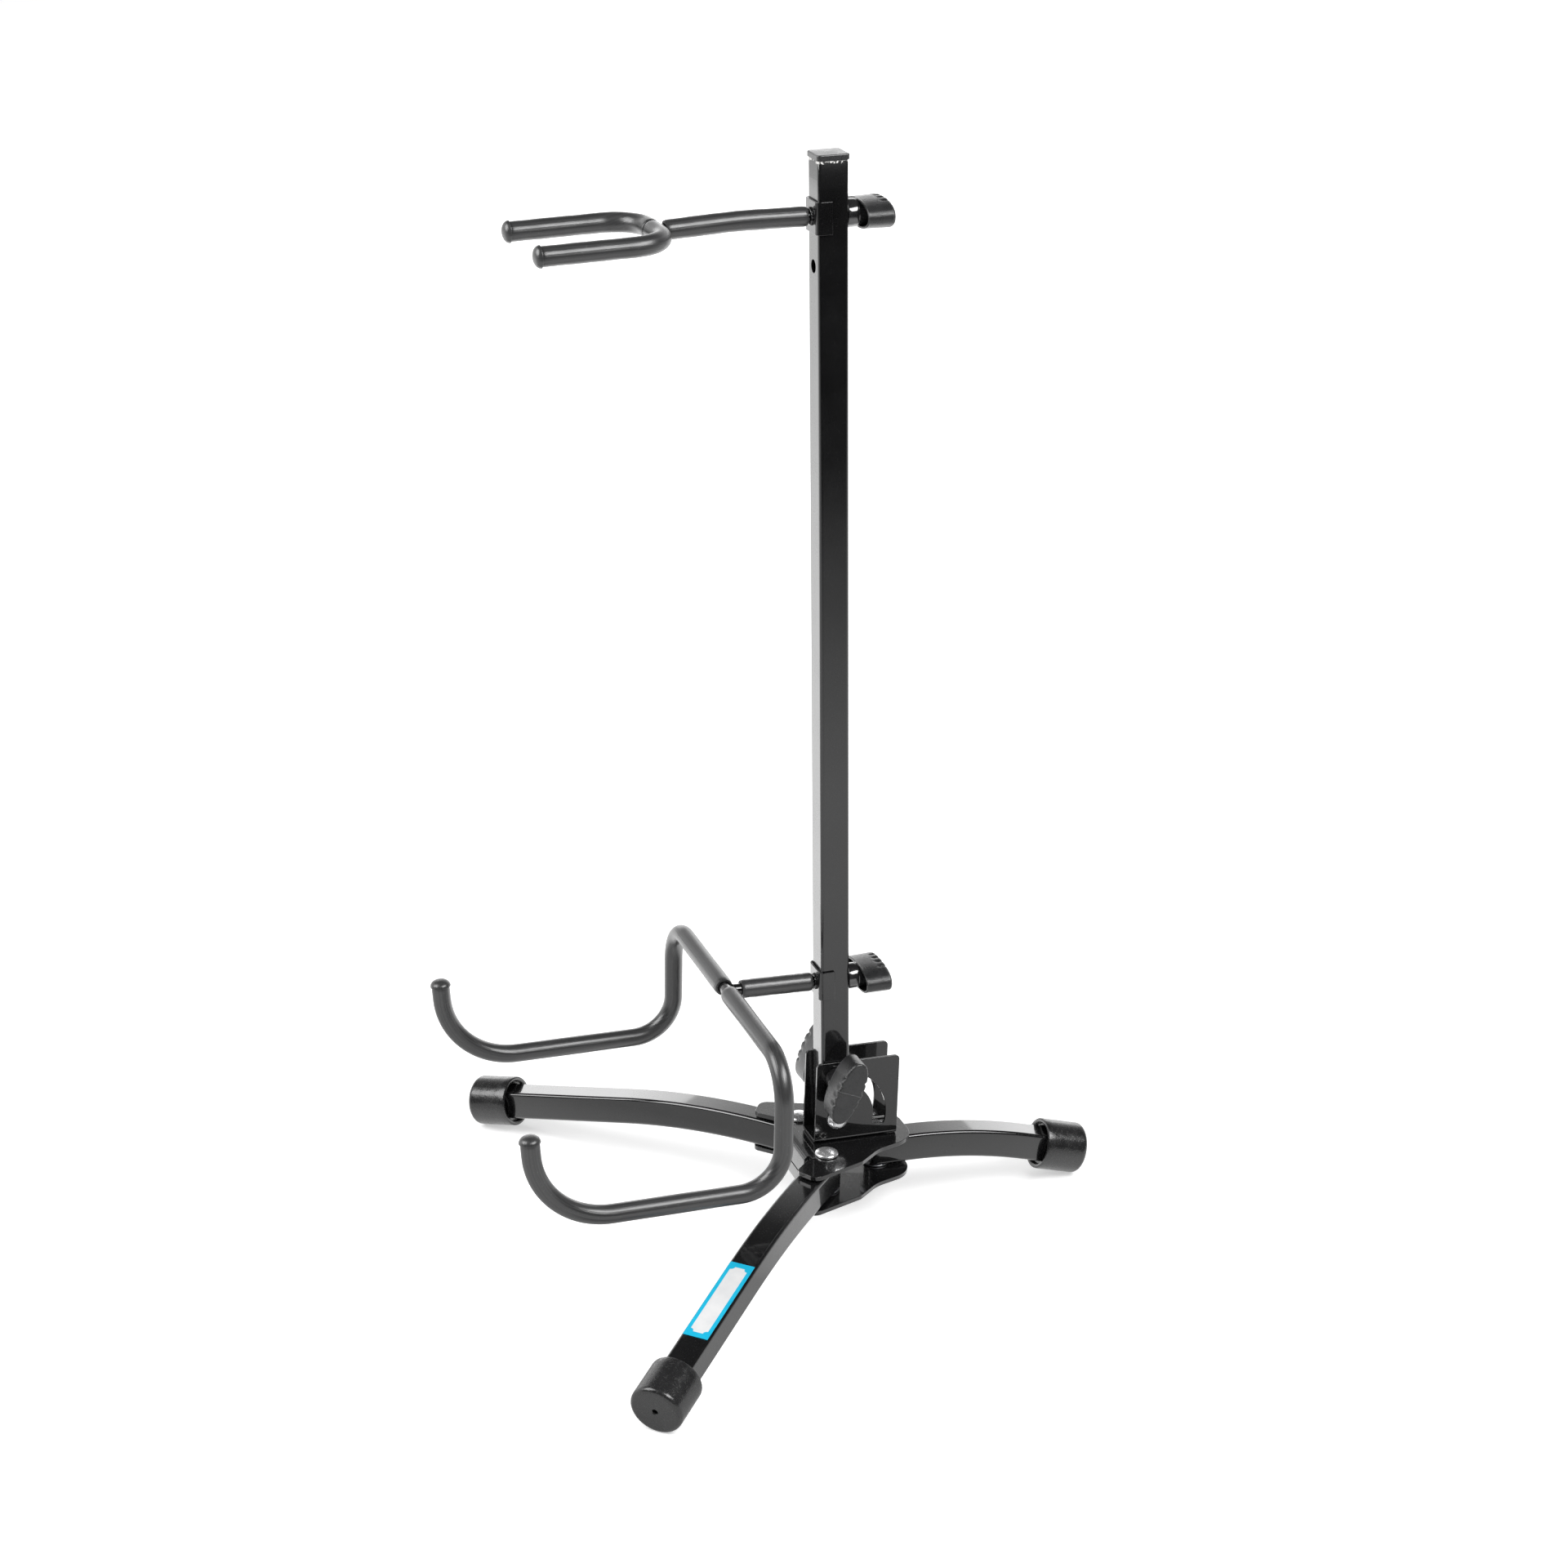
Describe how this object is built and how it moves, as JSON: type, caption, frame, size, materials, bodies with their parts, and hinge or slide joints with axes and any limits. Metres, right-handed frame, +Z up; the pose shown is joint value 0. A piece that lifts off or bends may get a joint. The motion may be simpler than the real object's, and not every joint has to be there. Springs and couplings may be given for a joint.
{
  "type": "guitar stand",
  "caption": "Folding tripod floor stand with a square mast, a forked neck yoke and a two-armed body cradle in soft sleeves.",
  "frame": {"origin": "middle of the footprint's bounding box, on the floor", "axes": "+Z up along the mast; -Y is the front, where the arms point; +X is the stand's own left; the stand is mirrored across the Y-Z plane"},
  "size_m": [0.4656, 0.4394, 0.7417],
  "materials": {
    "black_paint": "gloss black powder coat",
    "chrome": "bright plated",
    "zinc": "zinc plated",
    "foot_rubber": "satin moulded black rubber",
    "sleeve_vinyl": "dark grey satin soft vinyl",
    "knob_plastic": "textured dark grey",
    "cap_plastic": "satin black",
    "label": "printed film with no text"
  },
  "bodies": {
    "hub": {"hub_plate_upper": "black_paint", "hub_plate_lower": "black_paint", "pivot_bracket": "black_paint", "mast_pivot_rivet": "chrome", "leg_rear": "black_paint", "foot_rear": "foot_rubber", "leg_rivet_front_left": "chrome", "leg_rivet_front_right": "chrome", "leg_rivet_rear": "chrome", "leg_washer_front_left_upper": "zinc", "leg_washer_front_left_lower": "zinc", "leg_washer_front_right_upper": "zinc", "leg_washer_front_right_lower": "zinc", "leg_washer_rear_upper": "zinc", "leg_washer_rear_lower": "zinc"},
    "mast_assembly": {"mast": "black_paint", "mast_cap": "cap_plastic", "clamp_stud": "zinc", "yoke_clip": "black_paint", "yoke_arm_rod": "black_paint", "yoke_arm_sleeve": "sleeve_vinyl", "yoke_fork_rod": "black_paint", "yoke_sleeve_left": "sleeve_vinyl", "yoke_sleeve_right": "sleeve_vinyl", "yoke_tip_cap_left": "sleeve_vinyl", "yoke_tip_cap_right": "sleeve_vinyl", "cradle_clip": "black_paint", "cradle_arm_rod": "black_paint", "cradle_arm_sleeve": "sleeve_vinyl", "cradle_rod": "black_paint", "cradle_sleeve_left": "sleeve_vinyl", "cradle_sleeve_right": "sleeve_vinyl", "cradle_tip_cap_left": "sleeve_vinyl", "cradle_tip_cap_right": "sleeve_vinyl"},
    "front_leg_left": {"leg_front_left": "black_paint", "foot_front_left": "foot_rubber", "leg_label": "label"},
    "front_leg_right": {"leg_front_right": "black_paint", "foot_front_right": "foot_rubber"},
    "clamp_knob_left": {"clamp_knob_left": "knob_plastic"},
    "clamp_knob_right": {"clamp_knob_right": "knob_plastic"},
    "yoke_knob": {"yoke_knob": "knob_plastic"},
    "cradle_knob": {"cradle_knob": "knob_plastic"}
  },
  "joints": [
    {"name": "mast_tilt", "type": "hinge", "parent": "hub", "child": "mast_assembly", "pos_m": [0, 0.02999, 0.0805], "axis": [-1, 0, 0], "range_deg": [0, 80]},
    {"name": "front_leg_left_fold", "type": "hinge", "parent": "hub", "child": "front_leg_left", "pos_m": [0.0285, 0.01547, 0.04865], "axis": [0, 0.0471, 0.9989], "range_deg": [0, 133]},
    {"name": "front_leg_right_fold", "type": "hinge", "parent": "hub", "child": "front_leg_right", "pos_m": [-0.0285, 0.01547, 0.04865], "axis": [0, -0.0471, -0.9989], "range_deg": [0, 133]},
    {"name": "clamp_knob_left_turn", "type": "hinge", "parent": "mast_assembly", "child": "clamp_knob_left", "pos_m": [0.0127, 0.03026, 0.1113], "axis": [1, 0, 0], "continuous": true},
    {"name": "clamp_knob_right_turn", "type": "hinge", "parent": "mast_assembly", "child": "clamp_knob_right", "pos_m": [-0.0127, 0.03026, 0.1113], "axis": [-1, 0, 0], "continuous": true},
    {"name": "yoke_knob_turn", "type": "hinge", "parent": "mast_assembly", "child": "yoke_knob", "pos_m": [0, 0.04572, 0.70239], "axis": [0, 1, -0.0087], "continuous": true},
    {"name": "cradle_knob_turn", "type": "hinge", "parent": "mast_assembly", "child": "cradle_knob", "pos_m": [0, 0.04117, 0.18091], "axis": [0, 1, -0.0087], "continuous": true}
  ]
}
